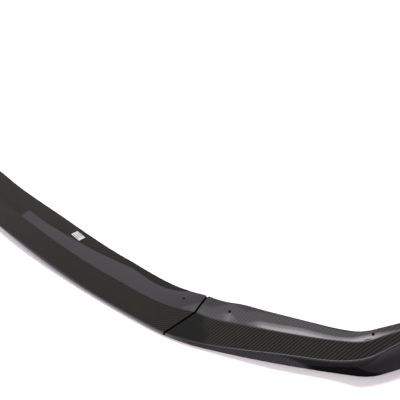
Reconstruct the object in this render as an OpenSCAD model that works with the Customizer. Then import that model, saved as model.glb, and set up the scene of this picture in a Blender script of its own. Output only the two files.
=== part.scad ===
// Front splitter lip for a car: a long centre section and a wrap-round end section on each side.
// Each section is one thin laminate shell. Seen from above it has three bands: an inner flange with
// screw holes that sits against the bumper, a broad blade that looks forward, and a front face.
// X is across the car, -Y is forward, Z is up. The lip stands on its bottom edge at Z = 0.
// All sizes are in millimetres and all angles in degrees.

/* [Overall] */
// Width over the bottom edges of the two wings
overall_w = 1750; // [1650:10:1850]
// Thickness of the laminate
wall = 2.5; // [2:0.1:3.2]

/* [Leading edge in plan] */
// Radius of the shallow curve across the nose
nose_r = 2800; // [2400:50:3400]
// Angle that the nose curve turns through, on each side
nose_turn = 9.5; // [8:0.5:11]
// Radius of the shoulder where the lip starts to sweep back
shoulder_r = 370; // [300:10:450]
// Angle that the shoulder turns through
shoulder_turn = 19; // [16:0.5:22]
// Radius of the long side sweep
side_r = 1890; // [1600:10:2300]
// Radius of the corner ahead of the wheel
corner_r = 84; // [60:1:110]
// Angle of the leading edge at the end of the corner
wing_angle = 68; // [62:1:74]
// Radius of the wing behind the corner
wing_r = 900; // [700:20:1200]
// Length of the wing along its bottom edge
wing_len = 110; // [90:5:230]

/* [Sections and seams] */
// Length of the centre section from seam to seam
centre_len = 994; // [900:2:1080]
// Open gap at each seam
seam_gap = 1.2; // [0.6:0.1:3]
// Length ahead of the seam over which the centre section takes up the end section's profile
seam_blend = 40; // [30:1:80]
// Radius of the rear corner of each section at a seam
seam_round = 5; // [2:0.5:8]
// Radius of the lower front corner of an end section at its seam
toe_round = 2.5; // [1:0.25:2.5]
// Length of the joint tongue under the centre section
tongue_len = 25; // [15:1:28]
// Length of the doubler that carries the tongue under its own section
tongue_root = 20; // [10:1:30]
// Distance of the tongue from the front edge of the blade
tongue_front = 18; // [16:1:30]
// Distance of the tongue from the rear edge of the flange
tongue_rear = 8; // [6:0.5:10]
// Clearance between the tongue and the section that lies on it
tongue_clear = 0.3; // [0.2:0.05:0.6]

/* [Front face] */
// Backward lean of the front face from its bottom edge
face_lean = 9; // [5:0.5:14]
// Outward swell of the front face, as the angle at its edges
face_swell = 9; // [4:0.5:14]
// Radius of the edge between front face and blade
edge_r = 3; // [2:0.1:4]
// Height of the front face at the nose
face_nose = 9.5; // [8:0.5:14]
// Height of the front face halfway to the seam
face_mid = 6; // [5.5:0.1:10]
// Height of the front face at the seam
face_seam = 5.7; // [5.2:0.1:8]
// Height of the front face at the shoulder
face_shoulder = 9.5; // [7:0.5:18]
// Height of the front face on the side
face_side = 20.5; // [14:0.5:28]
// Height of the front face where the corner starts
face_corner = 28.5; // [22:0.5:38]
// Height of the front face behind the corner
face_wing = 50; // [40:1:60]
// Height of the front face at the wing tip
face_tip = 61; // [50:1:70]

/* [Blade] */
// Upward slope of the blade towards the rear
blade_slope = 6; // [3:0.5:9]
// Width of the blade at the nose
blade_nose = 59.5; // [50:0.5:70]
// Width of the blade halfway to the seam
blade_mid = 62; // [52:1:74]
// Width of the blade where the centre section's seam blend starts
blade_blend = 70; // [60:1:80]
// Width of the blade at the seam
blade_seam = 80.5; // [70:0.5:90]
// Width of the blade at the shoulder
blade_shoulder = 70.5; // [58:0.5:76]
// Width of the blade on the side
blade_side = 54; // [46:1:62]
// Width of the blade where the corner starts
blade_corner = 46; // [38:0.5:52]
// Width of the blade behind the corner
blade_wing = 28.5; // [20:0.5:32]
// Width of the blade at the wing tip
blade_tip = 14; // [10:1:20]

/* [Flange] */
// Crown of the flange, as the angle at its edges
flange_crown = 8; // [4:0.5:12]
// Radius in the crease between blade and flange
crease_r = 8; // [4:0.5:14]
// Width of the flange at the nose
flange_nose = 65; // [55:1:75]
// Width of the flange halfway to the seam
flange_mid = 54; // [46:1:62]
// Width of the flange where the seam blend starts
flange_blend = 42.5; // [36:0.5:50]
// Width of the flange at the seam
flange_seam = 33.5; // [28:0.5:40]
// Width of the flange at the shoulder
flange_shoulder = 34; // [28:0.5:40]
// Width of the flange on the side
flange_side = 29; // [24:0.5:36]
// Width of the flange where the corner starts
flange_corner = 21; // [17:0.5:28]
// Width of the flange behind the corner
flange_wing = 15; // [13:0.5:22]
// Width of the flange at the wing tip
flange_tip = 13; // [11:0.5:20]
// Slope of the flange at the nose
slope_nose = 10; // [6:1:14]
// Slope of the flange halfway to the seam
slope_mid = 16; // [11:1:20]
// Slope of the flange where the seam blend starts
slope_blend = 24; // [18:1:30]
// Slope of the flange at the seam and round the shoulder
slope_seam = 35; // [28:1:42]
// Slope of the flange on the side
slope_side = 32; // [24:1:40]
// Slope of the flange from the corner to the tip
slope_wing = 28; // [20:1:36]

/* [Screw holes] */
// Diameter of each screw hole
hole_d = 5.5; // [4:0.1:7]
// Distance of the centre section's hole from the seam, along the bottom edge
hole_centre_at = 39; // [34:1:60]
// Distance of the side hole from the seam, along the bottom edge
hole_side_at = 81; // [45:1:120]
// Distance of the corner hole from the wing tip, along the bottom edge
hole_corner_at = 113; // [85:1:150]
// Place of the holes across the flange, from crease to rear edge
hole_across = 0.5; // [0.4:0.05:0.6]

/* [Hidden] */
$fn = 48;
carbon = [0.12, 0.12, 0.125];
deg = 180 / PI;
// Distance along the leading edge over which the ribs turn from straight back to square with it
rib_turn = 180;
// Half length of the chord that each rib stands square to
rib_reach = 105;
// Places of the shoulder and side stations, as shares of the way from seam to corner
shoulder_at = 0.25;
side_at = 0.62;
// Length of the steady profile kept before and after the corner
corner_ease = 15;
// Slant of the doubler's long sides, and length over which it fades out under its section
pad_slant = 1.5;
pad_fade = 8;
// Greatest share of the front face that its edge radius may take
edge_share = 0.4;

// Leading edge in plan: five tangent arcs from the nose to the wing tip.
// The side arc ends where the corner and wing bring the lip to its overall width.
shoulder_end = nose_turn + shoulder_turn;
tip_angle = wing_angle + wing_len / wing_r * deg;
shoulder_x = nose_r * sin(nose_turn) + shoulder_r * (sin(shoulder_end) - sin(nose_turn));
wing_dx = wing_r * (sin(tip_angle) - sin(wing_angle));
side_end = asin((overall_w / 2 - shoulder_x + side_r * sin(shoulder_end)
                 - corner_r * sin(wing_angle) - wing_dx) / (side_r - corner_r));
radii = [nose_r, shoulder_r, side_r, corner_r, wing_r];
turns = [0, nose_turn, shoulder_end, side_end, wing_angle, tip_angle];

// Point where arc i starts, and its distance along the leading edge
function knot(i) = i == 0 ? [0, 0] :
    knot(i - 1) + radii[i - 1] * [sin(turns[i]) - sin(turns[i - 1]), cos(turns[i - 1]) - cos(turns[i])];
function run_to(i) = i == 0 ? 0 : run_to(i - 1) + radii[i - 1] * (turns[i] - turns[i - 1]) / deg;
knots = [for (i = [0:5]) knot(i)];
runs = [for (i = [0:5]) run_to(i)];

// Arc that holds the distance s, heading there, and point there
function arc_of(s, i = 0) = i == 4 || s < runs[i + 1] ? i : arc_of(s, i + 1);
function heading(s) = let (i = arc_of(s)) turns[i] + (s - runs[i]) / radii[i] * deg;
function edge_point(s) = let (i = arc_of(s), a = heading(s))
    knots[i] + radii[i] * [sin(a) - sin(turns[i]), cos(turns[i]) - cos(a)];
// Distance along the leading edge at which it reaches the given x
function run_at_x(x, i = 0) = i == 4 || x < knots[i + 1][0]
    ? runs[i] + radii[i] * (asin(sin(turns[i]) + (x - knots[i][0]) / radii[i]) - turns[i]) / deg
    : run_at_x(x, i + 1);

seam_x = centre_len / 2;
seam_run = run_at_x(seam_x);
centre_end = run_at_x(seam_x - seam_gap / 2);
end_start = run_at_x(seam_x + seam_gap / 2);
tip_run = runs[5];

// Direction of the rib at s: straight back in the centre section, and from the seam it turns
// until it is square to a chord of the leading edge, so that ribs never cross at the corner
function chord_heading(s) = let (d = edge_point(s + rib_reach) - edge_point(s - rib_reach))
    atan2(d[1], d[0]);
function ease(t) = let (c = min(1, max(0, t))) c * c * (3 - 2 * c);
function rib_heading(s) = s <= seam_run ? 0 : chord_heading(s) * ease((s - seam_run) / rib_turn);

// Smooth curve through the values v at the stations st, level at the start where flat is true
function step_of(st, s, i = 0) = i >= len(st) - 2 || s < st[i + 1] ? i : step_of(st, s, i + 1);
function pitch(st, v, i) = (v[i + 1] - v[i]) / (st[i + 1] - st[i]);
function tangent(st, v, i, flat) = let (n = len(st) - 1)
    i == 0 ? (flat ? 0 : pitch(st, v, 0)) :
    i == n ? pitch(st, v, n - 1) :
    let (before = st[i] - st[i - 1], after = st[i + 1] - st[i])
    (pitch(st, v, i - 1) * after + pitch(st, v, i) * before) / (before + after);
function along(st, v, s, flat) = let (
    i = step_of(st, s),
    h = st[i + 1] - st[i],
    t = (s - st[i]) / h,
    a = tangent(st, v, i, flat) * h,
    b = tangent(st, v, i + 1, flat) * h)
    v[i] * (2 * pow(t, 3) - 3 * pow(t, 2) + 1) + a * (pow(t, 3) - 2 * pow(t, 2) + t)
    + v[i + 1] * (3 * pow(t, 2) - 2 * pow(t, 3)) + b * (pow(t, 3) - pow(t, 2));

// Stations and profile values of the centre section, from the nose to the seam
centre_stations = [0, run_at_x(0.55 * seam_x), run_at_x(seam_x - seam_blend), seam_run];
centre_face = [face_nose, face_mid, face_seam, face_seam];
centre_blade = [blade_nose, blade_mid, blade_blend, blade_seam];
centre_flange = [flange_nose, flange_mid, flange_blend, flange_seam];
centre_slope = [slope_nose, slope_mid, slope_blend, slope_seam];

// Stations and profile values of an end section, from the seam to the wing tip
corner_start = runs[3] - corner_ease;
corner_end = runs[4] + corner_ease;
end_stations = [seam_run, seam_run + shoulder_at * (runs[3] - seam_run),
                seam_run + side_at * (runs[3] - seam_run), corner_start, corner_end, tip_run];
end_face = [face_seam, face_shoulder, face_side, face_corner, face_wing, face_tip];
end_blade = [blade_seam, blade_shoulder, blade_side, blade_corner, blade_wing, blade_tip];
end_flange = [flange_seam, flange_shoulder, flange_side, flange_corner, flange_wing, flange_tip];
end_slope = [slope_seam, slope_seam, slope_side, slope_wing, slope_wing, slope_wing];

// Profile [face height, blade width, flange width, flange slope] at s
function profile(s) = s <= seam_run
    ? [for (v = [centre_face, centre_blade, centre_flange, centre_slope]) along(centre_stations, v, s, true)]
    : [for (v = [end_face, end_blade, end_flange, end_slope]) along(end_stations, v, s, false)];

// Amount that a rounded corner of radius r takes off, at a distance u from the section's end
function round_off(u, r) = u >= r ? 0 : r - sqrt(pow(r, 2) - pow(r - u, 2));

// Point [back, up] of the flange's top, t of the way from the crease to the rear edge
function flange_top(p, t) = let (back = p[0] * tan(face_lean) + p[1], up = p[0] + p[1] * tan(blade_slope))
    [back + t * p[2], up + t * p[2] * tan(p[3]) + p[2] * tan(flange_crown) * t * (1 - t)];

// Outer side of the section, from the bottom edge over the blade to the rear edge, less a cut there
function top_side(p, cut) = let (
    t = 1 - cut / p[2],
    lean = p[0] * tan(face_lean),
    swell = p[0] * tan(face_swell) / 4,
    r = min(edge_r, edge_share * p[0]),
    face_dir = [sin(face_lean), cos(face_lean)],
    blade_dir = [cos(blade_slope), sin(blade_slope)],
    edge = [lean, p[0]],
    crease = flange_top(p, 0),
    rise = p[3] + flange_crown - blade_slope,
    reach = crease_r * tan(rise / 2),
    flange_dir = [cos(blade_slope + rise), sin(blade_slope + rise)],
    lift = crease_r * (1 / cos(rise / 2) - 1))
    [[0, 0],
     [lean / 2 - swell, p[0] / 2],
     edge - r * face_dir,
     edge + 0.293 * r * (blade_dir - face_dir),
     edge + r * blade_dir,
     crease - reach * blade_dir,
     crease + lift * [-sin(blade_slope + rise / 2), cos(blade_slope + rise / 2)],
     crease + reach * flange_dir,
     flange_top(p, t / 3),
     flange_top(p, t * 2 / 3),
     flange_top(p, t)];

// Point at a depth square under the flange's top, t of the way from the crease to the rear edge
function flange_under(p, t, depth) = let (a = atan(tan(p[3]) + tan(flange_crown) * (1 - 2 * t)))
    flange_top(p, t) + depth * [sin(a), -cos(a)];

// Line at a depth under the outer side, from the blade's front to the flange's rear edge.
// It starts at the distance front behind the blade's edge and ends at rear before the rear edge.
function under_line(p, depth, front, rear) = let (
    crease = flange_top(p, 0),
    steep = p[3] + flange_crown,
    shift = depth * (1 / cos(steep) - 1 / cos(blade_slope)) / (tan(steep) - tan(blade_slope)),
    t = 1 - rear / p[2])
    [[p[0] * tan(face_lean) + front, p[0] + front * tan(blade_slope) - depth / cos(blade_slope)],
     [crease[0] + shift, crease[1] + shift * tan(blade_slope) - depth / cos(blade_slope)],
     flange_under(p, 1 / 3, depth),
     flange_under(p, min(2 / 3, t - 0.05), depth),
     flange_under(p, t, depth)];

// Closed section of the shell: outer side from front to back, then the inner side back to the bottom edge
skin_front = wall / cos(face_lean) - wall * tan(face_lean);
function shell_section(p, cut) = let (inner = under_line(p, wall, skin_front, cut))
    concat(top_side(p, cut), [inner[4], inner[3], inner[2], inner[1], inner[0], [wall / cos(face_lean), 0]]);

// Margins of the doubler and tongue from the blade's front and from the flange's rear edge
function front_margin(p) = min(tongue_front, 0.4 * p[1]);
function rear_margin(p) = min(tongue_rear, 0.3 * p[2]);

// Line of the doubler or tongue at a depth under the outer side
function pad_line(p, depth) = under_line(p, depth, front_margin(p) + pad_slant, rear_margin(p) + pad_slant);

// Closed section of an end section: as above, with a doubler of the given height on the inner side
// and the bottom edge lifted where its seam corner is rounded
function padded_section(p, cut, pad, lift) = let (
    inner = under_line(p, wall, skin_front, cut),
    rim = under_line(p, wall, front_margin(p), rear_margin(p)),
    doubler = pad_line(p, wall + pad),
    top = top_side(p, cut))
    concat([[lift * tan(face_lean), lift]], [for (i = [1:10]) top[i]], [inner[4], rim[4]],
           [for (i = [4:-1:0]) doubler[i]],
           [rim[0], inner[0], [wall / cos(face_lean) + lift * tan(face_lean), lift]]);

// Section points set out in space on the rib at s
function on_rib(s, section) = let (e = edge_point(s), a = rib_heading(s))
    [for (q = section) [e[0] - q[0] * sin(a), e[1] + q[0] * cos(a), q[1]]];
function mirrored(ring) = [for (q = ring) [-q[0], q[1], q[2]]];

// Rings at s, with the corners rounded towards the seam
toe = min(toe_round, face_seam - 1.25 * wall);
function plain_ring(s, cut) = on_rib(s, shell_section(profile(s), cut));
function centre_ring(s) = plain_ring(s, round_off(centre_end - s, seam_round));
function padded_ring(s) = let (u = s - end_start)
    on_rib(s, padded_section(profile(s), round_off(u, seam_round), pad_height(u), round_off(u, toe)));

// Height of the doubler at a distance from the seam: full over the tongue's root, then faired out
pad_full = wall + tongue_clear;
function pad_height(u) = pad_full * min(1, max(0, (tongue_root + pad_fade - u) / pad_fade));

// Ring of the tongue under the centre section, one clearance below it
function tongue_ring(s) = let (p = profile(s))
    on_rib(s, concat(pad_line(p, pad_full), reversed(pad_line(p, pad_full + wall))));

// Evenly spaced values from a up to b without b itself
function spread(a, b, n) = [for (i = [0:n - 1]) a + (b - a) * i / n];

centre_half = concat(spread(0, centre_stations[2], 20), spread(centre_stations[2], centre_end - seam_round, 6),
                     [for (i = [0:4]) centre_end - seam_round + seam_round * sin(90 * i / 5)], [centre_end]);
pad_end = end_start + tongue_root + pad_fade;
padded_runs = concat([for (i = [0:4]) end_start + seam_round * (1 - cos(90 * i / 5))],
                     spread(end_start + seam_round, end_start + tongue_root, 2),
                     [end_start + tongue_root, pad_end]);
plain_runs = concat(spread(pad_end + pad_fade, corner_start, 22), spread(corner_start, corner_end, 16),
                    spread(corner_end, tip_run, 5), [tip_run]);
tongue_runs = spread(seam_run - tongue_len, end_start, 5);

// Depth of the whole lip, from the nose to the rearmost point of the wing tip
lip_depth = max([for (q = plain_ring(tip_run, 0)) q[1]]);

// Faces between two rings of points. A ring may repeat a number where the other has more points
function band(a, b) = [for (j = [0:len(a) - 1]) let (k = (j + 1) % len(a))
    each concat(a[j] == a[k] ? [] : [[a[j], a[k], b[k]]], b[j] == b[k] ? [] : [[a[j], b[k], b[j]]])];
function bands(rings) = [for (i = [0:len(rings) - 2]) each band(rings[i], rings[i + 1])];
function reversed(v) = [for (i = [len(v) - 1:-1:0]) v[i]];
// Index lists of m rings of n points, numbered from the given start
function numbered(start, m, n) = [for (i = [0:m - 1]) [for (j = [0:n - 1]) start + i * n + j]];

// Screw hole straight down through the flange at s, on the side where x has the sign of side
module screw_hole(s, side) {
    spot = on_rib(s, [flange_top(profile(s), hole_across)])[0];
    translate([side * spot[0], spot[1], spot[2] - 3 * wall]) cylinder(h = 6 * wall, d = hole_d);
}

// One body: the tongue grows out of the doubler in the end face at the seam
module end_shell(side) {
    padded = [for (s = padded_runs) each padded_ring(s)];
    plain = [for (s = plain_runs) each plain_ring(s, 0)];
    tongue = [for (s = tongue_runs) each tongue_ring(s)];
    root_ring = tongue_ring(end_start);
    points = concat(padded, plain, tongue, [for (j = [0:4]) root_ring[j]]);
    padded_rings = numbered(0, len(padded_runs), 21);
    plain_rings = numbered(len(padded), len(plain_runs), 17);
    tongue_rings = numbered(len(padded) + len(plain), len(tongue_runs), 10);
    first = padded_rings[0];
    next = plain_rings[0];
    root = [for (j = [0:4]) len(points) - 5 + j];
    // Beyond the doubler the inner side needs fewer points, so some take two or three partners
    thinned = concat([for (j = [0:11]) next[j]], [next[11], next[11], next[12], next[13], next[14]],
                     [next[15], next[15], next[15], next[16]]);
    joined = concat(tongue_rings, [concat(root, [for (j = [13:17]) first[j]])]);
    end_face = concat([for (j = [0:13]) first[j]], reversed(root), [for (j = [17:20]) first[j]]);
    ends = [reversed(end_face), reversed(tongue_rings[0]), plain_rings[len(plain_runs) - 1]];
    faces = concat(bands(padded_rings), band(padded_rings[len(padded_runs) - 1], thinned), bands(plain_rings),
                   bands(joined), ends);
    polyhedron([for (q = points) [side * q[0], q[1], q[2]]],
               side > 0 ? faces : [for (face = faces) reversed(face)], convexity = 10);
}

module end_section(side) {
    difference() {
        end_shell(side);
        screw_hole(end_start + hole_side_at, side);
        screw_hole(tip_run - hole_corner_at, side);
    }
}

module centre_section() color(carbon) translate([0, -lip_depth / 2, 0]) {
    half = [for (s = centre_half) centre_ring(s)];
    rings = concat([for (i = [len(half) - 1:-1:1]) mirrored(half[i])], half);
    numbers = numbered(0, len(rings), 17);
    difference() {
        polyhedron([for (ring = rings) each ring],
                   concat(bands(numbers), [reversed(numbers[0]), numbers[len(rings) - 1]]), convexity = 10);
        for (side = [-1, 1]) screw_hole(centre_end - hole_centre_at, side);
    }
}

module right_end_section() color(carbon) translate([0, -lip_depth / 2, 0]) end_section(1);

module left_end_section() color(carbon) translate([0, -lip_depth / 2, 0]) end_section(-1);

centre_section();
right_end_section();
left_end_section();
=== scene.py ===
import math
import bmesh
import bpy
import numpy as np
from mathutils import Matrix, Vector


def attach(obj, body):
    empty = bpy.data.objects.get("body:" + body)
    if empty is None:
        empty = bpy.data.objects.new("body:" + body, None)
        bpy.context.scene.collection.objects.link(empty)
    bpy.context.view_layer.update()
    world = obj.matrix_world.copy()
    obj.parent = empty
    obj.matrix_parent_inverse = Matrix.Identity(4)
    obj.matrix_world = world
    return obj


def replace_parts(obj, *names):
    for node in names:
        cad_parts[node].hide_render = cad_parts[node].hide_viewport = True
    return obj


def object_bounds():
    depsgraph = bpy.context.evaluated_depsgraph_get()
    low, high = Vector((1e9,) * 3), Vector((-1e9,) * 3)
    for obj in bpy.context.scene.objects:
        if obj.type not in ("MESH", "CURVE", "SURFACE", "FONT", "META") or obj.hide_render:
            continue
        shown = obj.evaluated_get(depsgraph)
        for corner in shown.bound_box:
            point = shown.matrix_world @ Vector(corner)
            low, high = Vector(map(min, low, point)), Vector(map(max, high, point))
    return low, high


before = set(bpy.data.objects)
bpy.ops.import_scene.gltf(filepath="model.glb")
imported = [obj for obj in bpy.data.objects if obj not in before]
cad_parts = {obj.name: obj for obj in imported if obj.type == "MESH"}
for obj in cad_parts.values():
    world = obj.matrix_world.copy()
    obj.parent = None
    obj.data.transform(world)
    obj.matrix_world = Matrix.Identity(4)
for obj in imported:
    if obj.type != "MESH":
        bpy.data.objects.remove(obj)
CAD_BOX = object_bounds()
MM = 0.001

# Driving sizes of the lip, the same as in the part's source, in millimetres and degrees
OVERALL_W, WALL = 1750, 2.5
NOSE_R, NOSE_TURN = 2800, 9.5
SHOULDER_R, SHOULDER_TURN = 370, 19
SIDE_R, CORNER_R = 1890, 84
WING_ANGLE, WING_R, WING_LEN = 68, 900, 110
CENTRE_LEN, SEAM_GAP, SEAM_BLEND = 994, 1.2, 40
SEAM_ROUND, TOE_ROUND = 5, 2.5
TONGUE_LEN, TONGUE_ROOT, TONGUE_FRONT, TONGUE_REAR, TONGUE_CLEAR = 25, 20, 18, 8, 0.3
FACE_LEAN, FACE_SWELL, EDGE_R, EDGE_SHARE = 9, 9, 3, 0.4
BLADE_SLOPE, FLANGE_CROWN, CREASE_R = 6, 8, 8
RIB_TURN, RIB_REACH, CORNER_EASE = 180, 105, 15
CENTRE_AT, SHOULDER_AT, SIDE_AT = 0.55, 0.25, 0.62
HOLE_D, HOLE_ACROSS = 5.5, 0.5
HOLE_CENTRE_AT, HOLE_SIDE_AT, HOLE_CORNER_AT = 39, 81, 113

# The joint tongue: its largest margins as shares of the blade and the flange, the inset of its top
# and bottom from them, how deep its root reaches into the laminate, and the rings at its step
TONGUE_MARGINS, TONGUE_INSET = (0.4, 0.3), 1.5
TONGUE_BITE, TONGUE_STEP = 0.5, (0.01, 0.5)

# Profile values at the stations: face height, blade width, flange width, flange slope
CENTRE_PROFILES = np.array([
    (9.5, 59.5, 65, 10),
    (6, 62, 54, 16),
    (5.7, 70, 42.5, 24),
    (5.7, 80.5, 33.5, 35)], float)
END_PROFILES = np.array([
    (5.7, 80.5, 33.5, 35),
    (9.5, 70.5, 34, 35),
    (20.5, 54, 29, 32),
    (28.5, 46, 21, 28),
    (50, 28.5, 15, 28),
    (61, 14, 13, 28)], float)

# The label's place in plan behind the nose, its size and its turn
LABEL_X, LABEL_BACK, LABEL_LEN, LABEL_WIDTH, LABEL_TURN = 108, 106, 36, 16.5, -3
LABEL_T = 0.15

# The washers under the screw holes, dark pieces that stand in for the shade seen through the holes: points
# of their section as (radius, depth below the flange)
WASHER_SECTION = [(2.75, 0.05), (2.75, 4.7), (3.0, 5.0), (6.2, 5.0), (6.5, 4.7), (6.5, 0.05)]

# How finely things are made: points along each part of the section, and rings along each run
FACE_POINTS, EDGE_POINTS, BLADE_POINTS, CREASE_POINTS, FLANGE_POINTS = 7, 8, 10, 8, 12
UNDER_FLANGE, UNDER_BLADE, UNDER_FACE, UNDER_TONGUE = 8, 8, 3, 5
CENTRE_RINGS, BLEND_RINGS, SIDE_RINGS, CORNER_RINGS, WING_RINGS, ROUND_RINGS = 90, 16, 110, 60, 50, 8
TONGUE_RINGS, ROOT_RINGS = 8, 5
HOLE_SIDES, WASHER_SIDES = 40, 40
LABEL_CELLS = (24, 12)
SMOOTH_SECTION, SMOOTH_TRIM = 32, 40
SAME_PLACE = 1e-7

# Weave: width of a tow in millimetres, and in tows the repeat of the 2 by 2 twill and its floats
TOW_W, TWILL_REPEAT, FLOAT_LENGTH = 2.0, 4.0, 2.0
# How fast the tows' height rises along a float and across a tow
HUMP_POWER, CROWN_POWER = 0.5, 0.4
# Direction of the twill's ribs in plan for each section
RIBS_CENTRE, RIBS_END = 52, 92
# How much the two tow directions differ in tone: on the centre's flange, its blade, and the ends
CONTRAST_FLANGE, CONTRAST_BLADE, CONTRAST_END = 0.35, 0.85, 1.0
BLADE_NZ = (0.96, 0.99)
# Tone of the fibre streaks and of the tows' height, and how much finer streaks are across a tow
STREAK_SPAN, STREAK_TONE = (0.3, 0.7), (0.75, 1.25)
HEIGHT_SPAN, HEIGHT_TONE = (0.0, 0.8), (0.35, 1.0)
STREAKS_ACROSS, STREAKS_ALONG = 14.0, 0.8
# Colours of the dark and the light tows, on the glossy outside and on the rougher inside
GLOSS_DARK, GLOSS_LIGHT = (0.0022, 0.0021, 0.0019, 1), (0.0215, 0.02, 0.018, 1)
RAW_DARK, RAW_LIGHT = (0.012, 0.012, 0.012, 1), (0.028, 0.028, 0.028, 1)
GLOSS_ROUGHNESS, RAW_ROUGHNESS, RAW_COAT = 0.42, 0.6, 0.15

# The dark patch beside the seam: its slanted end, the waves along it, and its tone
PATCH_ACROSS, PATCH_ENDS = (0.577, 0.817), (0.262, 0.274)
PATCH_NOISE, PATCH_WAVE, PATCH_TONE = 45.0, 0.04, 0.3
# Distance from the seam's middle at which the bare black cut edge ends and the coat starts
BARE_EDGE = (0.0018, 0.0026)
# The steep face: the normals that count as steep, its tone lifted as painted light, and the painted shade, a
# plain dark colour over the weave, near the wings
STEEP_NZ, FACE_PAINTED_LIGHT = (0.25, 0.6), 1.2
PAINTED_SHADE_STARTS, FACE_PAINTED_SHADE = (0.66, 0.77), (0.014, 0.013, 0.014, 1)

# Relief: depth of the tows, and scale and depth of the clear coat's long wave and orange peel
TOW_DEPTH, TOW_SHARE = 0.0003, 0.5
WAVE_SCALE, WAVE_DEPTH = 14.0, 0.00035
PEEL_SCALE, PEEL_DEPTH, PEEL_SHARE = 420.0, 0.00001, 0.35
COAT_ROUGHNESS, COAT_IOR = 0.025, 1.5

# Label: rows of bars, the share of a row and of the width that they take, and the colours
LABEL_ROWS, ROW_INK, BAR_SPAN = 3.0, (0.35, 0.7), (0.12, 0.8)
PAPER, INK = (0.5, 0.5, 0.5, 1), (0.09, 0.09, 0.095, 1)
PAPER_GRAIN, PAPER_ROUGHNESS = 900.0, 0.5
GRAIN_SPAN, INK_SHARE = (0.3, 0.7), (0.85, 1.0)

# Washers: their two dark tones, painted shade for the view through the holes, and the grain of the rubber
RUBBER_DARK, RUBBER_LIGHT = (0.008, 0.008, 0.008, 1), (0.016, 0.016, 0.016, 1)
RUBBER_GRAIN, RUBBER_DEPTH, RUBBER_SHARE, RUBBER_ROUGHNESS = 1500.0, 0.0001, 0.3, 0.7

# Camera: angles, lens, and the point it looks at, in millimetres from the nose's bottom edge
CAM_AZIMUTH, CAM_ELEVATION, CAM_LENS, CAM_DISTANCE = 48, 28, 60, 1773.5
CAM_TARGET = (131.0, 469.2, 0.0)
CAM_SENSOR, CAM_CLIP = 36, (0.01, 50)


def rad(degrees):
    return degrees * math.pi / 180


def sin(degrees):
    return math.sin(rad(degrees))


def cos(degrees):
    return math.cos(rad(degrees))


def tan(degrees):
    return math.tan(rad(degrees))


class Leading:
    """The lip's bottom edge in plan: five tangent arcs from the nose to the wing tip."""

    def __init__(self):
        shoulder_end = NOSE_TURN + SHOULDER_TURN
        tip = WING_ANGLE + math.degrees(WING_LEN / WING_R)
        shoulder_x = NOSE_R * sin(NOSE_TURN) + SHOULDER_R * (sin(shoulder_end) - sin(NOSE_TURN))
        side_end = math.degrees(math.asin(
            (OVERALL_W / 2 - shoulder_x + SIDE_R * sin(shoulder_end) - CORNER_R * sin(WING_ANGLE)
             - WING_R * (sin(tip) - sin(WING_ANGLE))) / (SIDE_R - CORNER_R)))
        self.radii = [NOSE_R, SHOULDER_R, SIDE_R, CORNER_R, WING_R]
        self.turns = [0, NOSE_TURN, shoulder_end, side_end, WING_ANGLE, tip]
        self.knots = [np.zeros(2)]
        self.runs = [0.0]
        for radius, a, b in zip(self.radii, self.turns, self.turns[1:]):
            self.knots.append(self.knots[-1] + radius * np.array([sin(b) - sin(a), cos(a) - cos(b)]))
            self.runs.append(self.runs[-1] + radius * rad(b - a))

    def arc(self, s):
        """Number of the arc that holds the place s along the edge."""
        return min(4, max(0, int(np.searchsorted(self.runs, s, side="right")) - 1))

    def heading(self, s):
        i = self.arc(s)
        return self.turns[i] + math.degrees((s - self.runs[i]) / self.radii[i])

    def point(self, s):
        i, a = self.arc(s), self.heading(s)
        start = self.turns[i]
        return self.knots[i] + self.radii[i] * np.array([sin(a) - sin(start), cos(start) - cos(a)])

    def run_at_x(self, x):
        """Length along the edge at which it is x from the middle."""
        i = 0
        while i < 4 and x >= self.knots[i + 1][0]:
            i += 1
        a = math.degrees(math.asin(sin(self.turns[i]) + (x - self.knots[i][0]) / self.radii[i]))
        return self.runs[i] + self.radii[i] * rad(a - self.turns[i])


EDGE = Leading()
SEAM_X = CENTRE_LEN / 2
SEAM_RUN = EDGE.run_at_x(SEAM_X)
CENTRE_END = EDGE.run_at_x(SEAM_X - SEAM_GAP / 2)
END_START = EDGE.run_at_x(SEAM_X + SEAM_GAP / 2)
TIP_RUN = EDGE.runs[5]
CENTRE_STATIONS = [0, EDGE.run_at_x(CENTRE_AT * SEAM_X), EDGE.run_at_x(SEAM_X - SEAM_BLEND), SEAM_RUN]
CORNER_START = EDGE.runs[3] - CORNER_EASE
CORNER_END = EDGE.runs[4] + CORNER_EASE
END_STATIONS = [SEAM_RUN, SEAM_RUN + SHOULDER_AT * (EDGE.runs[3] - SEAM_RUN),
                SEAM_RUN + SIDE_AT * (EDGE.runs[3] - SEAM_RUN), CORNER_START, CORNER_END, TIP_RUN]


def rib_heading(s):
    """Direction of the rib at s: straight back up to the seam, then turning square to a chord."""
    if s <= SEAM_RUN:
        return 0.0
    d = EDGE.point(s + RIB_REACH) - EDGE.point(s - RIB_REACH)
    t = min(1, (s - SEAM_RUN) / RIB_TURN)
    return math.degrees(math.atan2(d[1], d[0])) * t * t * (3 - 2 * t)


def along(stations, values, s, flat):
    """Smooth curve through the rows of values at the stations, level at its start where flat is true."""
    n = len(stations) - 1
    i = min(n - 1, max(0, int(np.searchsorted(stations, s, side="right")) - 1))

    def pitch(k):
        return (values[k + 1] - values[k]) / (stations[k + 1] - stations[k])

    def tangent(k):
        if k == 0:
            return values[0] * 0 if flat else pitch(0)
        if k == n:
            return pitch(n - 1)
        before, after = stations[k] - stations[k - 1], stations[k + 1] - stations[k]
        return (pitch(k - 1) * after + pitch(k) * before) / (before + after)

    h = stations[i + 1] - stations[i]
    t = (s - stations[i]) / h
    return (values[i] * (2 * t**3 - 3 * t**2 + 1) + tangent(i) * h * (t**3 - 2 * t**2 + t)
            + values[i + 1] * (3 * t**2 - 2 * t**3) + tangent(i + 1) * h * (t**3 - t**2))


def profile(s):
    if s <= SEAM_RUN:
        return along(CENTRE_STATIONS, CENTRE_PROFILES, s, True)
    return along(END_STATIONS, END_PROFILES, s, False)


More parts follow.
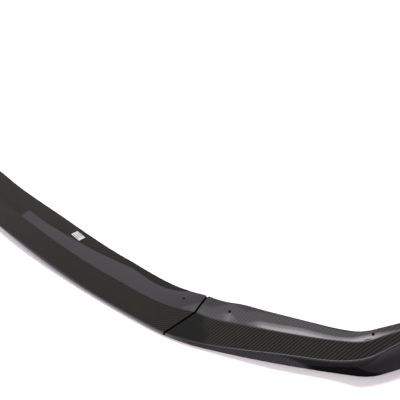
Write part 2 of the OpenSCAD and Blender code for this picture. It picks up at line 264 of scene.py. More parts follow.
def round_off(u, r):
    """How far a corner of radius r cuts back at the distance u from the section's end."""
    return 0.0 if u >= r else r - math.sqrt(r * r - (r - u) ** 2)


def flange_top(p, t):
    """Point on the flange, as (back, up), from the crease at t = 0 to the rear edge at t = 1."""
    back, up = p[0] * tan(FACE_LEAN) + p[1], p[0] + p[1] * tan(BLADE_SLOPE)
    return np.array([back + t * p[2], up + t * p[2] * tan(p[3]) + p[2] * tan(FLANGE_CROWN) * t * (1 - t)])


def flange_under(p, t, depth):
    a = math.atan(tan(p[3]) + tan(FLANGE_CROWN) * (1 - 2 * t))
    return flange_top(p, t) + depth * np.array([math.sin(a), -math.cos(a)])


def crease_under(p, depth):
    """Corner where the lines at a depth under the blade and under the flange meet."""
    steep = math.degrees(math.atan(tan(p[3]) + tan(FLANGE_CROWN)))
    shift = depth * (1 / cos(steep) - 1 / cos(BLADE_SLOPE)) / (tan(steep) - tan(BLADE_SLOPE))
    return flange_top(p, 0) + np.array([shift, shift * tan(BLADE_SLOPE) - depth / cos(BLADE_SLOPE)])


def blade_under(p, front, depth):
    """Point at a depth under the blade, at the distance front behind its front edge."""
    up = p[0] + front * tan(BLADE_SLOPE) - depth / cos(BLADE_SLOPE)
    return np.array([p[0] * tan(FACE_LEAN) + front, up])


def bend(a, corner, b, count):
    """Points of a smooth bend from a to b that heads for the corner from both."""
    ts = np.linspace(0, 1, count)
    return [(1 - t) ** 2 * a + 2 * t * (1 - t) * corner + t * t * b for t in ts]


def straight(a, b, count):
    """Points between a and b, without the two ends."""
    return [a + (b - a) * (k + 1) / (count + 1) for k in range(count)]


def outer_side(p, cut, lift):
    """Outer side of the section, from the bottom edge over the blade to the rear edge."""
    lean, swell = p[0] * tan(FACE_LEAN), p[0] * tan(FACE_SWELL) / 4
    r = min(EDGE_R, EDGE_SHARE * p[0])
    blade_dir = np.array([cos(BLADE_SLOPE), sin(BLADE_SLOPE)])
    end = 1 - r * cos(FACE_LEAN) / p[0]

    def face(t):
        return np.array([lean * t - 4 * swell * t * (1 - t), p[0] * t])

    start = lift / p[0]
    points = [face(start + (end - start) * k / FACE_POINTS) for k in range(FACE_POINTS)]
    slope = np.array([lean - 4 * swell * (1 - 2 * end), p[0]])
    edge = np.array([lean, p[0]])
    corner = face(end) + slope * np.linalg.solve(np.array([slope, -blade_dir]).T, edge - face(end))[0]
    points += bend(face(end), corner, corner + r * blade_dir, EDGE_POINTS)
    crease = flange_top(p, 0)
    steep = math.degrees(math.atan(tan(p[3]) + tan(FLANGE_CROWN)))
    reach = CREASE_R * tan((steep - BLADE_SLOPE) / 2)
    meet = reach * cos(steep) / p[2]
    points += straight(points[-1], crease - reach * blade_dir, BLADE_POINTS)
    points += bend(crease - reach * blade_dir, crease, flange_top(p, meet), CREASE_POINTS)
    last = 1 - cut / p[2]
    ts = [meet + (last - meet) * (k + 1) / FLANGE_POINTS for k in range(FLANGE_POINTS)]
    return points + [flange_top(p, t) for t in ts]


def inner_side(p, cut, lift):
    """Inner side of the section, from the rear edge back to the bottom edge."""
    last = 1 - cut / p[2]
    front = WALL / cos(FACE_LEAN) - WALL * tan(FACE_LEAN)
    crease = crease_under(p, WALL)
    corner = blade_under(p, front, WALL)
    foot = np.array([WALL / cos(FACE_LEAN) + lift * tan(FACE_LEAN), lift])
    points = [flange_under(p, last * (1 - k / UNDER_FLANGE), WALL) for k in range(UNDER_FLANGE)]
    points += [crease] + straight(crease, corner, UNDER_BLADE)
    return points + [corner] + straight(corner, foot, UNDER_FACE) + [foot]


def on_rib(s, points):
    """Points (back, up) of the section at s, placed in space in millimetres behind the nose."""
    e, a = EDGE.point(s), rib_heading(s)
    return np.array([(e[0] - q[0] * sin(a), e[1] + q[0] * cos(a), q[1]) for q in points])


def cloth_on_rib(s, lengths, ribs):
    """Weave coordinates in tows: the section unrolled on the plan, turned to the twill's direction."""
    e, a, turn = EDGE.point(s), rib_heading(s), ribs + 45
    x, y = e[0] - lengths * sin(a), e[1] + lengths * cos(a)
    warp, weft = x * cos(turn) + y * sin(turn), y * cos(turn) - x * sin(turn)
    return np.stack([warp, weft], 1) / TOW_W


def lofted(name, runs, section, ribs, side, materials):
    """Closed mesh through the sections at the runs.

    section(s) gives the section's points and how many of them are outside. side is 1 or -1.
    """
    rings, cloths = [], []
    for s in runs:
        points, outside = section(s)
        steps = np.linalg.norm(np.diff(np.array(points + points[:1]), axis=0), axis=1)
        rings.append(on_rib(s, points))
        lengths = np.concatenate([[0], np.cumsum(steps)])
        cloths.append((cloth_on_rib(s, lengths, ribs), cloth_on_rib(s, lengths[-1] - lengths, ribs)))
    m, n = len(rings), len(rings[0])
    co = np.concatenate(rings) * MM
    co[:, 0] *= side
    co[:, 1] += CAD_BOX[0].y
    faces, coords, kinds = [], [], []
    for i in range(m - 1):
        for j in range(n):
            k = (j + 1) % n
            inner = 0 if j < outside else 1
            here, there = cloths[i][inner], cloths[i + 1][inner]
            quad = [(i * n + j, here[j]), (i * n + k, here[j + 1]),
                    ((i + 1) * n + k, there[j + 1]), ((i + 1) * n + j, there[j])]
            if side < 0:
                quad.reverse()
            faces.append([q[0] for q in quad])
            coords += [q[1] for q in quad]
            kinds.append(0 if j < outside - 1 else 1)
    for ring, flip in ((0, side > 0), (m - 1, side < 0)):
        order = list(range(n))
        if flip:
            order.reverse()
        faces.append([ring * n + j for j in order])
        coords += [cloths[ring][0][j] for j in order]
        kinds.append(1)
    mesh = bpy.data.meshes.new(name)
    mesh.from_pydata(co.tolist(), [], faces)
    uv = mesh.uv_layers.new(name="cloth")
    uv.data.foreach_set("uv", np.array(coords).ravel())
    for material in materials:
        mesh.materials.append(material)
    mesh.polygons.foreach_set("material_index", kinds)
    obj = bpy.data.objects.new(name, mesh)
    bpy.context.scene.collection.objects.link(obj)
    return obj


def shell_section(s, seam_run):
    """The laminate's section at s, with its corners rounded off towards the seam."""
    u = abs(s - seam_run)
    p = profile(s)
    toe = 0.0 if seam_run == CENTRE_END else round_off(u, min(TOE_ROUND, p[0] - 1.25 * WALL))
    outside = outer_side(p, round_off(u, SEAM_ROUND), toe)
    return outside + inner_side(p, round_off(u, SEAM_ROUND), toe), len(outside)


def tongue_section(s):
    """The joint tongue: a strip under the centre section that thickens into the doubler's root."""
    p = profile(s)
    top = WALL + TONGUE_CLEAR if s < END_START else WALL - TONGUE_BITE
    low = 2 * WALL + TONGUE_CLEAR
    front = min(TONGUE_FRONT, TONGUE_MARGINS[0] * p[1]) + TONGUE_INSET
    rear = min(TONGUE_REAR, TONGUE_MARGINS[1] * p[2]) + TONGUE_INSET
    last = 1 - rear / p[2]

    def line(depth):
        return ([blade_under(p, front, depth), crease_under(p, depth)]
                + [flange_under(p, last * k / UNDER_TONGUE, depth) for k in range(1, UNDER_TONGUE + 1)])

    return line(top) + line(low)[::-1], 0


def smooth_by_angle(obj, degrees):
    obj.data.polygons.foreach_set("use_smooth", [True] * len(obj.data.polygons))
    obj.data.set_sharp_from_angle(angle=rad(degrees))


def drill(obj, places):
    """Vertical round holes through a piece, at the (x, y, z) places in millimetres."""
    cutter_mesh = bpy.data.meshes.new("drill")
    bm = bmesh.new()
    radius, depth = HOLE_D / 2 * MM, 6 * WALL * MM
    for x, y, z in places:
        made = bmesh.ops.create_cone(bm, cap_ends=True, segments=HOLE_SIDES, radius1=radius,
                                     radius2=radius, depth=depth)
        bmesh.ops.translate(bm, verts=made["verts"], vec=(x * MM, y * MM + CAD_BOX[0].y, z * MM))
    bm.to_mesh(cutter_mesh)
    bm.free()
    cutter_mesh.materials.append(obj.data.materials[1])
    cutter = bpy.data.objects.new("drill", cutter_mesh)
    bpy.context.scene.collection.objects.link(cutter)
    cut = obj.modifiers.new("holes", "BOOLEAN")
    cut.operation, cut.solver, cut.object = "DIFFERENCE", "EXACT", cutter
    cut.material_mode = "TRANSFER"
    bpy.context.view_layer.update()
    done = bpy.data.meshes.new_from_object(obj.evaluated_get(bpy.context.evaluated_depsgraph_get()))
    obj.modifiers.clear()
    obj.data = done
    bpy.data.objects.remove(cutter)


def hole_place(s, side):
    """Where the hole at s comes out on top of the flange."""
    q = on_rib(s, [flange_top(profile(s), HOLE_ACROSS)])[0]
    return side * q[0], q[1], q[2]


def spread(a, b, count):
    """Even steps from a up to b, without b itself."""
    return list(np.linspace(a, b, count, endpoint=False))


def rounded_start(a, r):
    """Rings close together where a section starts at a with corners of radius r."""
    return [a + r * (1 - math.cos(math.pi / 2 * k / ROUND_RINGS)) for k in range(ROUND_RINGS)]


def rounded_end(b, r):
    """The same where a section ends at b, with b itself."""
    return [b - r + r * math.sin(math.pi / 2 * k / ROUND_RINGS) for k in range(ROUND_RINGS + 1)]


class Graph:
    """Small helper that adds shader nodes and links them."""

    def __init__(self, tree):
        self.nodes, self.links = tree.nodes, tree.links

    def put(self, socket, value):
        """Link the value to the socket, or set it there if it is constant."""
        if isinstance(value, bpy.types.NodeSocket):
            self.links.new(value, socket)
        else:
            socket.default_value = value

    def add(self, kind, inputs=(), out=0, **settings):
        node = self.nodes.new(kind)
        for key, value in settings.items():
            setattr(node, key, value)
        for key, value in dict(inputs).items():
            self.put(node.inputs[key], value)
        return node.outputs[out]

    def math(self, operation, a, b=0.0):
        return self.add("ShaderNodeMath", {0: a, 1: b}, operation=operation)

    def product(self, value, *others):
        """The values multiplied, in the order given."""
        for other in others:
            value = self.math("MULTIPLY", value, other)
        return value

    def ramp(self, value, span, to_low=0.0, to_high=1.0, smooth=False):
        """Change from to_low to to_high while the value passes through the span."""
        kind = "SMOOTHSTEP" if smooth else "LINEAR"
        return self.add("ShaderNodeMapRange", {0: value, 1: span[0], 2: span[1], 3: to_low, 4: to_high},
                        interpolation_type=kind)

    def mix_value(self, factor, a, b):
        return self.add("ShaderNodeMix", {0: factor, 2: a, 3: b}, data_type="FLOAT")

    def mix(self, factor, a, b):
        """Mix of two colours, whose sockets come after those for numbers and vectors."""
        return self.add("ShaderNodeMix", {0: factor, 6: a, 7: b}, out=2, data_type="RGBA")

    def scaled(self, colour, factor):
        return self.add("ShaderNodeVectorMath", {0: colour, "Scale": factor}, operation="SCALE")

    def split(self, vector):
        node = self.nodes.new("ShaderNodeSeparateXYZ")
        self.links.new(vector, node.inputs[0])
        return tuple(node.outputs)

    def noise(self, place, scale, detail=2.0):
        """Smooth noise at the place, with more octaves for more detail."""
        return self.add("ShaderNodeTexNoise", {"Vector": place, "Scale": scale, "Detail": detail})

    def bump(self, height, distance, strength, **inputs):
        """Normal of a surface that the height, from 0 to 1, raises by the distance in metres."""
        inputs.update({"Strength": strength, "Distance": distance, "Height": height})
        return self.add("ShaderNodeBump", inputs)

    def own_place(self):
        """Place in the object's own axes, in metres."""
        return self.add("ShaderNodeTexCoord", out=3)

    def normal_z(self):
        return self.split(self.add("ShaderNodeNewGeometry", out=1))[2]


def new_material(name):
    """A new material, its graph and its surface shader."""
    material = bpy.data.materials.new(name)
    material.use_nodes = True
    return material, Graph(material.node_tree), material.node_tree.nodes["Principled BSDF"]


def weave(g):
    """2 by 2 twill from the cloth coordinates: (warp on top, height of the tows, fibre streaks)."""
    a, b = g.split(g.add("ShaderNodeUVMap", uv_map="cloth"))[:2]
    i, j = g.math("FLOOR", a), g.math("FLOOR", b)
    phase = g.math("FLOORED_MODULO", g.math("ADD", i, j), TWILL_REPEAT)
    warp = g.math("LESS_THAN", phase, FLOAT_LENGTH - 0.5)
    # Place along the float and across the tow, both from 0 to 1
    warp_run = g.math("ADD", i, b)
    weft_run = g.math("ADD", g.math("ADD", j, a), FLOAT_LENGTH)
    warp_t = g.math("DIVIDE", g.math("FLOORED_MODULO", warp_run, TWILL_REPEAT), FLOAT_LENGTH)
    weft_t = g.math("DIVIDE", g.math("FLOORED_MODULO", weft_run, TWILL_REPEAT), FLOAT_LENGTH)
    t = g.mix_value(warp, weft_t, warp_t)
    c = g.mix_value(warp, g.math("FRACT", b), g.math("FRACT", a))
    hump = g.product(t, g.math("SUBTRACT", 1.0, t), 4.0)
    crown = g.product(c, g.math("SUBTRACT", 1.0, c), 4.0)
    height = g.product(g.math("POWER", hump, HUMP_POWER), g.math("POWER", crown, CROWN_POWER))
    # Streaks along the fibres: a fine noise that is stretched along the tow on top
    across = g.product(g.mix_value(warp, b, a), STREAKS_ACROSS)
    length = g.product(g.mix_value(warp, a, b), STREAKS_ALONG)
    streaks = g.noise(g.add("ShaderNodeCombineXYZ", {0: across, 1: length}), 1.0)
    return warp, height, streaks


def seam_shade(g):
    """Tone of the dark patch beside the seam, 0 on the black cut edges, and 1 on the end sections."""
    spot = g.own_place()
    x, y = g.split(spot)[:2]
    across = g.math("ABSOLUTE", x)
    slant = g.math("ADD", g.product(across, PATCH_ACROSS[0]), g.product(y, PATCH_ACROSS[1]))
    slant = g.math("ADD", slant, g.product(g.noise(spot, PATCH_NOISE, 3.0), PATCH_WAVE))
    beyond = g.math("GREATER_THAN", across, SEAM_X * MM)
    patch = g.product(beyond, g.ramp(slant, PATCH_ENDS, 1.0, 0.0, smooth=True))
    gap = g.math("ABSOLUTE", g.math("SUBTRACT", across, SEAM_X * MM))
    return g.mix_value(patch, 1.0, PATCH_TONE), g.ramp(gap, BARE_EDGE), beyond


def face_shade(g):
    """How steep the surface is, and how much painted shade, a plain dark colour, covers the weave: near the
    wings.
    """
    x = g.split(g.own_place())[0]
    steep = g.ramp(g.normal_z(), STEEP_NZ, 1.0, 0.0, smooth=True)
    return steep, g.product(steep, g.ramp(g.math("ABSOLUTE", x), PAINTED_SHADE_STARTS))


def carbon_colour(g, warp, height, streaks, bare, patch, beyond, dark, light):
    """Colour of the cloth: dark and light tows, with the shades by place laid over them, among them painted
    light and painted shade on the steep face.
    """
    steep, painted_shade = face_shade(g)
    tone = g.product(g.ramp(streaks, STREAK_SPAN, *STREAK_TONE), g.ramp(height, HEIGHT_SPAN, *HEIGHT_TONE))
    # The steep face gets a lighter tone: painted light
    tone = g.product(tone, patch, g.mix_value(steep, 1.0, FACE_PAINTED_LIGHT))
    centre = g.ramp(g.normal_z(), BLADE_NZ, CONTRAST_FLANGE, CONTRAST_BLADE)
    contrast = g.mix_value(beyond, centre, CONTRAST_END)
    on_top = g.math("ADD", g.product(g.math("SUBTRACT", warp, 0.5), contrast), 0.5)
    woven = g.scaled(g.mix(on_top, dark, light), tone)
    # Near the wings a plain dark colour covers the steep face's weave: painted shade
    return g.scaled(g.mix(painted_shade, woven, FACE_PAINTED_SHADE), bare)


def carbon_material(name, coat, base_roughness, dark, light):
    """Twill carbon fibre in resin. coat is the strength of the clear gloss coat."""
    material, g, shader = new_material(name)
    warp, height, streaks = weave(g)
    patch, bare, beyond = seam_shade(g)
    colour = carbon_colour(g, warp, height, streaks, bare, patch, beyond, dark, light)
    g.links.new(colour, shader.inputs["Base Color"])
    g.links.new(g.bump(height, TOW_DEPTH, TOW_SHARE), shader.inputs["Normal"])
    shader.inputs["Roughness"].default_value = base_roughness
    shader.inputs["Specular IOR Level"].default_value = 0.0
    # The clear coat is smooth, with a faint long wave and orange peel, and stops short of the cut edges
    spot = g.own_place()
    skin = g.bump(g.noise(spot, WAVE_SCALE, 1.0), WAVE_DEPTH, 1.0)
    skin = g.bump(g.noise(spot, PEEL_SCALE, 1.0), PEEL_DEPTH, PEEL_SHARE, Normal=skin)
    g.links.new(skin, shader.inputs["Coat Normal"])
    g.links.new(g.product(bare, coat), shader.inputs["Coat Weight"])
    shader.inputs["Coat Roughness"].default_value = COAT_ROUGHNESS
    shader.inputs["Coat IOR"].default_value = COAT_IOR
    return material


def label_material():
    """White paper label with plain grey bars and no writing."""
    material, g, shader = new_material("label_paper")
    u, v = g.split(g.add("ShaderNodeUVMap", uv_map="label"))[:2]
    rows = g.math("FRACT", g.product(v, LABEL_ROWS))
    in_row = g.product(g.math("GREATER_THAN", rows, ROW_INK[0]), g.math("LESS_THAN", rows, ROW_INK[1]))
    inside = g.product(g.math("GREATER_THAN", u, BAR_SPAN[0]), g.math("LESS_THAN", u, BAR_SPAN[1]))
    grain = g.noise(g.own_place(), PAPER_GRAIN)
    ink = g.product(in_row, inside, g.ramp(grain, GRAIN_SPAN, *INK_SHARE))
    g.links.new(g.mix(ink, PAPER, INK), shader.inputs["Base Color"])
    shader.inputs["Roughness"].default_value = PAPER_ROUGHNESS
    return material


def hole_shade_rubber_material():
    """Dull black rubber with a fine grain, whose darkness is painted shade for the view through the screw
    holes.
    """
    material, g, shader = new_material("hole_shade_black_rubber")
    grain = g.noise(g.own_place(), RUBBER_GRAIN)
    g.links.new(g.mix(grain, RUBBER_DARK, RUBBER_LIGHT), shader.inputs["Base Color"])
    g.links.new(g.bump(grain, RUBBER_DEPTH, RUBBER_SHARE), shader.inputs["Normal"])
    shader.inputs["Roughness"].default_value = RUBBER_ROUGHNESS
    return material


def make_sections():
    """The three moulded sections of the lip."""
    gloss = carbon_material("carbon_gloss", 1.0, GLOSS_ROUGHNESS, GLOSS_DARK, GLOSS_LIGHT)
    raw = carbon_material("carbon_inside", RAW_COAT, RAW_ROUGHNESS, RAW_DARK, RAW_LIGHT)
    made = [centre_piece(gloss, raw)]
    for side, name in ((1, "right_end_section"), (-1, "left_end_section")):
        made += end_pieces(side, name, gloss, raw)
    for piece in made:
        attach(piece, "root")


def centre_piece(gloss, raw):
    """The centre section: the ribs of its right half and their mirror images, in one mesh."""
    runs = spread(0, CENTRE_STATIONS[2], CENTRE_RINGS)
    runs += spread(CENTRE_STATIONS[2], CENTRE_END - SEAM_ROUND, BLEND_RINGS)
    runs += rounded_end(CENTRE_END, SEAM_ROUND)

    def half(name, ribs, side):
        return lofted(name, runs, lambda s: shell_section(s, CENTRE_END), ribs, side, (gloss, raw))

    obj = half("centre_section_skin", RIBS_CENTRE, 1)
    other = half("centre_other_half", 180 - RIBS_CENTRE, -1)
    bm = bmesh.new()
    for piece in (obj, other):
        bm.from_mesh(piece.data)
    middle = [f for f in bm.faces if all(abs(v.co.x) < SAME_PLACE for v in f.verts)]
    bmesh.ops.delete(bm, geom=middle, context="FACES")
    border = [v for v in bm.verts if abs(v.co.x) < SAME_PLACE]
    bmesh.ops.remove_doubles(bm, verts=border, dist=SAME_PLACE)
    bm.to_mesh(obj.data)
    bm.free()
    bpy.data.objects.remove(other)
    drill(obj, [hole_place(CENTRE_END - HOLE_CENTRE_AT, side) for side in (1, -1)])
    smooth_by_angle(obj, SMOOTH_SECTION)
    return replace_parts(obj, "centre_section")


def end_pieces(side, name, gloss, raw):
    """An end section: its drilled shell, and the joint tongue under it."""
    runs = rounded_start(END_START, SEAM_ROUND) + spread(END_START + SEAM_ROUND, CORNER_START, SIDE_RINGS)
    runs += spread(CORNER_START, CORNER_END, CORNER_RINGS)
    runs += spread(CORNER_END, TIP_RUN, WING_RINGS) + [TIP_RUN]
    shell = lofted(name + "_skin", runs, lambda s: shell_section(s, END_START), RIBS_END, side, (gloss, raw))
    runs = spread(SEAM_RUN - TONGUE_LEN, END_START, TONGUE_RINGS) + [END_START - TONGUE_STEP[0]]
    runs += spread(END_START + TONGUE_STEP[1], END_START + TONGUE_ROOT, ROOT_RINGS)
    runs += [END_START + TONGUE_ROOT]
    tongue = lofted(name + "_tongue", runs, tongue_section, RIBS_END, side, (raw, raw))
    drill(shell, [hole_place(END_START + HOLE_SIDE_AT, side), hole_place(TIP_RUN - HOLE_CORNER_AT, side)])
    for piece in (shell, tongue):
        smooth_by_angle(piece, SMOOTH_SECTION)
        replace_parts(piece, name)
    return [shell, tongue]


def trim_piece(name, co, faces, material):
    """A small added piece from points in millimetres behind the nose, riding on the lip."""
    mesh = bpy.data.meshes.new(name)
    mesh.from_pydata([(x * MM, y * MM + CAD_BOX[0].y, z * MM) for x, y, z in co], [], faces)
    mesh.materials.append(material)
    obj = bpy.data.objects.new(name, mesh)
    bpy.context.scene.collection.objects.link(obj)
    smooth_by_angle(obj, SMOOTH_TRIM)
    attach(obj, "root")
    return obj


def washer_points(s, side):
    """Points of the washer under the hole at s, on the slanted underside of the flange."""
    # The slope comes from a point at the hole and one a little further on each way
    under = [on_rib(r, [flange_under(profile(r), t, WALL)])[0]
             for r, t in ((s, HOLE_ACROSS), (s + 1, HOLE_ACROSS), (s, HOLE_ACROSS + 0.05))]
    normal = np.cross(under[1] - under[0], under[2] - under[0])
    top = on_rib(s, [flange_top(profile(s), HOLE_ACROSS)])[0]
    points = []
    for k in range(WASHER_SIDES):
        turn = 2 * math.pi * k / WASHER_SIDES
        for radius, drop in WASHER_SECTION:
            x, y = top[0] + radius * math.cos(turn), top[1] + radius * math.sin(turn)
            reach = np.array([x - under[0][0], y - under[0][1]])
            z = under[0][2] - reach @ normal[:2] / normal[2] - drop
            points.append((side * x, y, z))
    return points


def make_hole_shade_washers():
    """A soft black washer under each screw hole, in one mesh: a dark piece that stands in for the shade seen
    through the hole.
    """
    co, faces = [], []
    n = len(WASHER_SECTION)
    for s in (CENTRE_END - HOLE_CENTRE_AT, END_START + HOLE_SIDE_AT, TIP_RUN - HOLE_CORNER_AT):
        for side in (1, -1):
            start = len(co)
            co += washer_points(s, side)
            for k in range(WASHER_SIDES):
                here, there = start + k * n, start + (k + 1) % WASHER_SIDES * n
                for j in range(n):
                    a, b, c, d = here + j, here + (j + 1) % n, there + (j + 1) % n, there + j
                    faces.append((a, b, c, d) if side > 0 else (a, d, c, b))
    trim_piece("washers", co, faces, hole_shade_rubber_material())


def make_label():
    """The small paper label, laid on the centre flange."""
    nu, nv = LABEL_CELLS
    co, uvs = [], []
    for i in range(nu + 1):
        for j in range(nv + 1):
            u, v = i / nu, j / nv
            dx, dy = (u - 0.5) * LABEL_LEN, (v - 0.5) * LABEL_WIDTH
            x = LABEL_X + dx * cos(LABEL_TURN) - dy * sin(LABEL_TURN)
            y = LABEL_BACK + dx * sin(LABEL_TURN) + dy * cos(LABEL_TURN)
            s = EDGE.run_at_x(x)
            p = profile(s)
            t = (y - EDGE.point(s)[1] - p[0] * tan(FACE_LEAN) - p[1]) / p[2]
            co.append((x, y, flange_top(p, t)[1] + LABEL_T))
            uvs.append((u, v))
    count = len(co)
    top = [(i * (nv + 1) + j, (i + 1) * (nv + 1) + j, (i + 1) * (nv + 1) + j + 1, i * (nv + 1) + j + 1)
           for i in range(nu) for j in range(nv)]
    rim = [i * (nv + 1) for i in range(nu)] + [nu * (nv + 1) + j for j in range(nv)]
    rim += [(nu - i) * (nv + 1) + nv for i in range(nu)] + [nv - j for j in range(nv)]
    co += [(x, y, z - LABEL_T) for x, y, z in co]
    uvs += uvs
    faces = top + [tuple(count + k for k in reversed(f)) for f in top]
    for here, there in zip(rim, rim[1:] + rim[:1]):
        faces.append((here, count + here, count + there, there))
    label = trim_piece("label", co, faces, label_material())
    uv = label.data.uv_layers.new(name="label")
    uv.data.foreach_set("uv", np.array([uvs[loop.vertex_index] for loop in label.data.loops]).ravel())


# What the gloss reflects: a dim room behind the lip, and a pale wall in front, brighter higher up
PALE = (1.06, 1.0, 1.1, 1)
DIM_GLOW, WALL_GLOW, TOP_GLOW = 0.33, 0.85, 1.25
WALL_EDGE, WALL_RISE = (-0.05, -0.03), (0.57, 0.77)
# The brightest part, low on the left: its level, the height where it fades, and its right end
LOW_GLOW, LOW_RISE, LOW_SIDE = 3.0, (0.3, 0.5), (-0.25, -0.05)
# Light on the surfaces themselves: more from above than from below. The backdrop behind the floor
ROOM_LOW, ROOM_HIGH, BACKDROP = 0.35, 1.25, 1.1

# The pale ceiling: its height and corners, its rear edge and how that moves back on the right
CEILING_HEIGHT, CEILING_LOW, CEILING_HIGH = 1.0, (-2.0, -0.8), (2.0, 1.0)
CEILING_EDGE, CEILING_TURN, CEILING_STEP = 0.16, (0.4, 0.8), 0.4
CEILING_LEFT, CEILING_FADE, CEILING_SOFT = -1.5, (-1.4, -0.4), 0.02

# The soft lamp: its place and turn, its size, and its glow at the rim, in the middle and in the core
LAMP_AT, LAMP_TURN, LAMP_HEIGHT = (0.692, -0.093), 42.6, 0.5
LAMP_LENGTH, LAMP_WIDTH, LAMP_REAR = 1.8, 0.085, 0.25
LAMP_RIM, LAMP_MIDDLE, LAMP_CORE = 2.0, 5.0, 9.5
LAMP_COLOUR = (1.04, 1.0, 1.05, 1)
# Distances along the lamp where its edge bows and where it steps back, and by how much
BOW_AT, LAMP_BOW = (-0.34, -0.2), 0.02
BACK_AT, LAMP_BACK = (-0.58, -0.43), 0.14
# Depths in from the edge where the rim, the middle and the core come up
RIM_DEPTH, MIDDLE_DEPTH, CORE_DEPTH = (-0.15, -0.1), (-0.02, 0.006), (0.012, 0.055)
# Fading towards the lamp's two ends
CORE_STARTS = (-0.34, -0.24)
LEFT_FADE, LEFT_LEVEL = (-0.34, -0.22), 0.12
RIGHT_FADE, RIGHT_LEVEL = (0.1, 0.3), 0.65

# The key light behind the lip
SUN_AZIMUTH, SUN_ELEVATION, SUN_STRENGTH, SUN_SPREAD = 190, 42, 3.6, 8

# The paper floor: its tone in the picture and in the light it throws back, and its two whites
FLOOR_SIZE, FLOOR_SEEN, FLOOR_BOUNCE = 12, 0.84, 0.086
FLOOR_DARK, FLOOR_LIGHT = (0.99, 0.92, 0.955, 1), (1.0, 0.93, 0.965, 1)
FLOOR_MOTTLE, FLOOR_ROUGHNESS = 3.0, 0.9
# The floor in reflections: pale in front of the centre, less so at the sides, dark near the corners
FLOOR_FRONT, FLOOR_SIDE, FLOOR_NEAR, FLOOR_STEP, FLOOR_FAR = 3.5, 0.8, 0.27, 0.2, 0.65
FRONT_ENDS, CORNER_STARTS, NEAR_STARTS = (0.47, 0.56), (0.735, 0.755), (0.84, 0.85)
# The dark area's centre and reach, and the slanted line in front of it with the level there
CORNER_CENTRE, FAR_REACH = (0.70, 0.13), (0.2, 0.35)
STEP_SLANT, STEP_LINE, STEP_SHARE = 0.25, (-0.214, -0.208), 0.3


def make_world():
    """Even white light on everything, and in reflections a dim side and a pale side."""
    world = bpy.data.worlds.new("studio")
    bpy.context.scene.world = world
    world.use_nodes = True
    g = Graph(world.node_tree)
    x, y, z = g.split(g.add("ShaderNodeTexCoord", out=0))
    wall = g.ramp(y, WALL_EDGE, 1.0, 0.0, smooth=True)
    low = g.product(g.ramp(z, LOW_RISE, 1.0, 0.0), g.ramp(x, LOW_SIDE, 1.0, 0.0))
    glow = g.mix_value(low, g.ramp(z, WALL_RISE, WALL_GLOW, TOP_GLOW), LOW_GLOW)
    glow = g.mix_value(wall, DIM_GLOW, glow)
    room = g.ramp(z, (0.0, 1.0), ROOM_LOW, ROOM_HIGH)
    path = g.nodes.new("ShaderNodeLightPath")
    reflected, seen = path.outputs["Is Glossy Ray"], path.outputs["Is Camera Ray"]
    level = g.mix_value(seen, g.mix_value(reflected, room, glow), BACKDROP)
    background = g.nodes["Background"]
    g.links.new(level, background.inputs["Strength"])
    g.links.new(g.mix(g.product(reflected, wall), (1, 1, 1, 1), PALE), background.inputs["Color"])


def glowing_sheet(name, low, high, place, turn):
    """A flat sheet that only the gloss sees, and the graph and output of its material."""
    mesh = bpy.data.meshes.new(name)
    corners = [(low[0], low[1], 0), (high[0], low[1], 0), (high[0], high[1], 0), (low[0], high[1], 0)]
    mesh.from_pydata(corners, [], [(0, 1, 2, 3)])
    material, g = new_material(name)[:2]
    mesh.materials.append(material)
    sheet = bpy.data.objects.new(name, mesh)
    bpy.context.scene.collection.objects.link(sheet)
    sheet.location = place
    sheet.rotation_euler = (0, 0, rad(turn))
    sheet.visible_camera = sheet.visible_diffuse = sheet.visible_shadow = False
    return g, g.nodes["Material Output"].inputs["Surface"]


def shine_through(g, output, share, colour, strength):
    """Glow where the share is 1, and clear where it is 0."""
    glow = g.add("ShaderNodeEmission", {"Color": colour, "Strength": strength})
    g.put(output, g.add("ShaderNodeMixShader", {0: share, 1: g.add("ShaderNodeBsdfTransparent"), 2: glow}))


def make_ceiling():
    """The pale ceiling: its edge draws the boundary between dark and pale on the centre flange."""
    g, output = glowing_sheet("ceiling", CEILING_LOW, CEILING_HIGH, (0, 0, CEILING_HEIGHT), 0)
    x, y = g.split(g.own_place())[:2]
    edge = g.math("ADD", g.ramp(x, CEILING_TURN, 0.0, CEILING_STEP), CEILING_EDGE)
    inside = g.ramp(g.math("SUBTRACT", y, edge), (-CEILING_SOFT, CEILING_SOFT), 1.0, 0.0, smooth=True)
    right = g.ramp(x, (CEILING_LEFT - CEILING_SOFT, CEILING_LEFT + CEILING_SOFT), smooth=True)
    level = g.ramp(x, CEILING_FADE, WALL_GLOW, TOP_GLOW)
    shine_through(g, output, g.product(inside, right), PALE, level)


def make_lamp():
    """The soft lamp over the camera's side: a rim, a middle and a core, fading to both ends."""
    g, output = glowing_sheet("lamp", (-LAMP_LENGTH / 2, -LAMP_WIDTH), (LAMP_LENGTH / 2, LAMP_REAR),
                              (*LAMP_AT, LAMP_HEIGHT), LAMP_TURN)
    x, y = g.split(g.own_place())[:2]
    bow = g.ramp(x, BOW_AT, LAMP_BOW, 0.0, smooth=True)
    back = g.ramp(x, BACK_AT, LAMP_BACK, 0.0)
    depth = g.math("SUBTRACT", back, g.math("ADD", y, bow))
    share = g.ramp(depth, RIM_DEPTH, smooth=True)
    core = g.product(g.ramp(depth, CORE_DEPTH, smooth=True), g.ramp(x, CORE_STARTS))
    level = g.ramp(depth, MIDDLE_DEPTH, 0.0, LAMP_MIDDLE - LAMP_RIM, smooth=True)
    level = g.math("ADD", level, g.product(core, LAMP_CORE - LAMP_MIDDLE))
    level = g.product(level, g.ramp(x, LEFT_FADE, LEFT_LEVEL, 1.0))
    level = g.product(g.math("ADD", level, LAMP_RIM), g.ramp(x, RIGHT_FADE, 1.0, RIGHT_LEVEL))
    shine_through(g, output, share, LAMP_COLOUR, level)


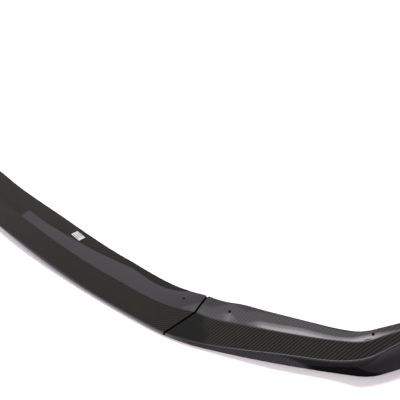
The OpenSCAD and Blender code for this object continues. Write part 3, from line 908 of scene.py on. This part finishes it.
def make_key_light():
    """A large soft light from behind, which gives the lip its short shadow in front of the corners."""
    light = bpy.data.lights.new("key_light", "SUN")
    light.energy, light.angle = SUN_STRENGTH, rad(SUN_SPREAD)
    key = bpy.data.objects.new("key_light", light)
    bpy.context.scene.collection.objects.link(key)
    key.rotation_euler = (rad(90 - SUN_ELEVATION), 0, rad(SUN_AZIMUTH))
    key.visible_glossy = False


def floor_glow(g, spot):
    """The floor's level in reflections: pale in front, and dark in a patch near each corner."""
    x, back = g.split(spot)[:2]
    across = g.math("ABSOLUTE", x)
    run = g.math("SUBTRACT", across, CORNER_CENTRE[0])
    rise = g.math("SUBTRACT", back, CORNER_CENTRE[1])
    reach = g.math("SQRT", g.math("ADD", g.product(run, run), g.product(rise, rise)))
    far = g.ramp(reach, FAR_REACH, 0.0, FLOOR_FAR)
    right = g.ramp(across, NEAR_STARTS, smooth=True)
    near = g.product(right, g.math("ADD", far, FLOOR_NEAR))
    ahead = g.math("SUBTRACT", back, g.product(across, STEP_SLANT))
    step = g.math("ADD", g.product(far, STEP_SHARE), FLOOR_STEP)
    corner = g.mix_value(g.ramp(ahead, STEP_LINE, smooth=True), step, near)
    front = g.ramp(across, FRONT_ENDS, FLOOR_FRONT, FLOOR_SIDE, smooth=True)
    return g.mix_value(g.ramp(across, CORNER_STARTS, smooth=True), front, corner)


def floor_material():
    """White paper, with its own level of light where the gloss reflects it."""
    material, g, shader = new_material("floor_paper")
    spot = g.own_place()
    path = g.nodes.new("ShaderNodeLightPath")
    tone = g.mix_value(path.outputs["Is Camera Ray"], FLOOR_BOUNCE, FLOOR_SEEN)
    paper = g.mix(g.noise(spot, FLOOR_MOTTLE), FLOOR_DARK, FLOOR_LIGHT)
    g.links.new(g.scaled(paper, tone), shader.inputs["Base Color"])
    shader.inputs["Roughness"].default_value = FLOOR_ROUGHNESS
    shader.inputs["Specular IOR Level"].default_value = 0.0
    glow = g.add("ShaderNodeEmission", {"Color": PALE, "Strength": floor_glow(g, spot)})
    mixed = g.add("ShaderNodeMixShader", {0: path.outputs["Is Glossy Ray"], 1: shader.outputs[0], 2: glow})
    g.links.new(mixed, g.nodes["Material Output"].inputs["Surface"])
    return material


def make_floor():
    """The white paper that the lip stands on."""
    bpy.ops.mesh.primitive_plane_add(size=FLOOR_SIZE)
    floor = bpy.context.object
    floor.name = "floor"
    floor.data.materials.append(floor_material())


def make_camera():
    """The photo's camera, found by the fit to its outlines."""
    cam = bpy.data.objects.new("camera", bpy.data.cameras.new("camera"))
    bpy.context.scene.collection.objects.link(cam)
    bpy.context.scene.camera = cam
    cam.data.lens, cam.data.sensor_width = CAM_LENS, CAM_SENSOR
    cam.data.clip_start, cam.data.clip_end = CAM_CLIP
    a, e = CAM_AZIMUTH, CAM_ELEVATION
    back = np.array([sin(a) * cos(e), -cos(a) * cos(e), sin(e)])
    target = np.array(CAM_TARGET) * MM + np.array([0, CAD_BOX[0].y, 0])
    cam.location = target + back * CAM_DISTANCE * MM
    cam.rotation_euler = (rad(90 - e), 0, rad(a))


make_camera()
make_world()
make_ceiling()
make_lamp()
make_key_light()
make_floor()
make_sections()
make_label()
make_hole_shade_washers()
bpy.context.scene.view_settings.view_transform = "Standard"
